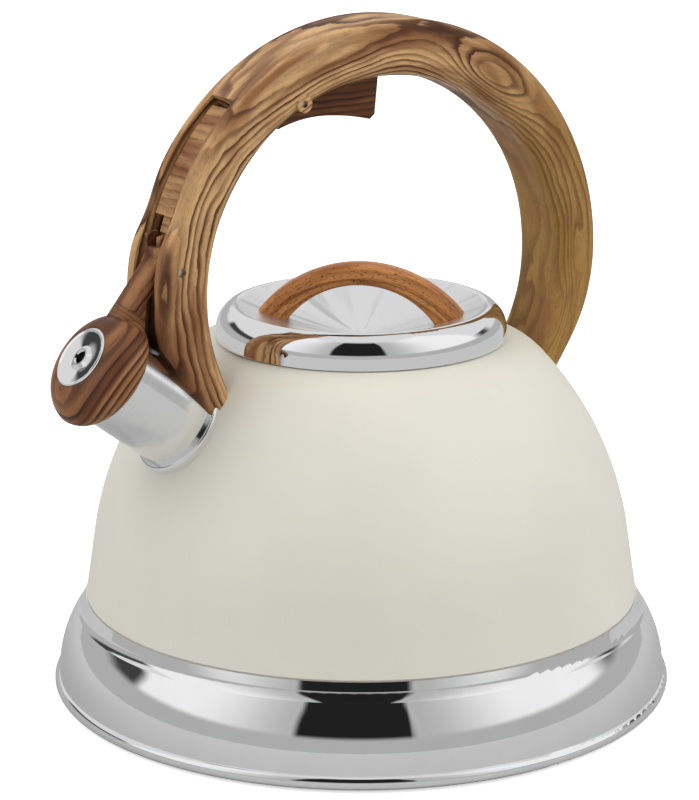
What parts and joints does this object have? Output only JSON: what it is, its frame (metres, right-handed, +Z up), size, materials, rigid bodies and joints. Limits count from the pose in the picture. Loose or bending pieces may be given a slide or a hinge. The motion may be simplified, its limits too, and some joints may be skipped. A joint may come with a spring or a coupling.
{
  "type": "stovetop whistling kettle",
  "caption": "Domed stovetop kettle with a flared mirror base, arched wood-effect handle, squeeze trigger that swings the spout's whistle cap, and a lift-off lid.",
  "frame": {"origin": "centre of the base plate's flat underside, where the kettle rests", "axes": "+Z up, the spout points along -X, the handle's arch and the whole trigger train lie in the XZ plane"},
  "size_m": [0.2299, 0.22, 0.2378],
  "materials": {
    "mirror_steel": "mirror polished",
    "plain_steel": "plain rolled stainless",
    "brushed_steel": "fine satin brushed",
    "spreader_aluminium": "mill",
    "cream_paint": "satin paint",
    "grip_wood_effect": "satin wood-effect film on moulded plastic",
    "trigger_wood_effect": "satin wood-effect film on moulded plastic",
    "cap_wood_effect": "satin wood-effect film on moulded plastic",
    "arch_wood_effect": "satin wood-effect film on moulded plastic",
    "silicone": "matt"
  },
  "bodies": {
    "kettle": {"base_skirt": "mirror_steel", "floor_pan": "plain_steel", "heat_spreader": "spreader_aluminium", "base_plate": "brushed_steel", "dome_shell": "cream_paint", "spout_tube": "brushed_steel", "spout_collar": "mirror_steel", "front_bracket": "plain_steel", "rear_bracket": "plain_steel", "handle_screws": "plain_steel", "handle": "grip_wood_effect", "lever_pin": "plain_steel", "trigger_pin": "plain_steel", "return_spring": "plain_steel"},
    "trigger": {"trigger": "trigger_wood_effect"},
    "push_rod": {"push_rod": "grip_wood_effect"},
    "whistle_cap": {"cap_lever": "cap_wood_effect", "whistle_disc": "mirror_steel", "whistle_cup": "plain_steel", "whistle_plate": "plain_steel", "cap_seal": "silicone"},
    "lid": {"lid_cover": "mirror_steel", "lid_plug": "plain_steel", "lid_handle": "arch_wood_effect", "lid_screws": "plain_steel", "lid_washers": "silicone"}
  },
  "joints": [
    {"name": "trigger_squeeze", "type": "hinge", "parent": "kettle", "child": "trigger", "pos_m": [-0.03174, 0, 0.21268], "axis": [0, -1, 0], "range_deg": [0, 18], "stiffness_Nm_per_rad": 0.08, "springref_deg": -20.05, "deforming": ["return_spring"]},
    {"name": "push_rod_travel", "type": "hinge", "parent": "kettle", "child": "push_rod", "pos_m": [0.0035, 0, 0.1475], "axis": [0, -1, 0], "range_deg": [0, 1.76]},
    {"name": "cap_swing", "type": "hinge", "parent": "kettle", "child": "whistle_cap", "pos_m": [-0.08036, 0, 0.16138], "axis": [0, 1, 0], "range_deg": [0, 30]},
    {"name": "lid_lift", "type": "slide", "parent": "kettle", "child": "lid", "axis": [0, 0, 1], "range_m": [0, 0.045]}
  ],
  "couplings": [
    {"joint": "push_rod_travel", "follows": "trigger_squeeze", "ratio": 0.09744},
    {"joint": "cap_swing", "follows": "trigger_squeeze", "ratio": 1.6666}
  ]
}
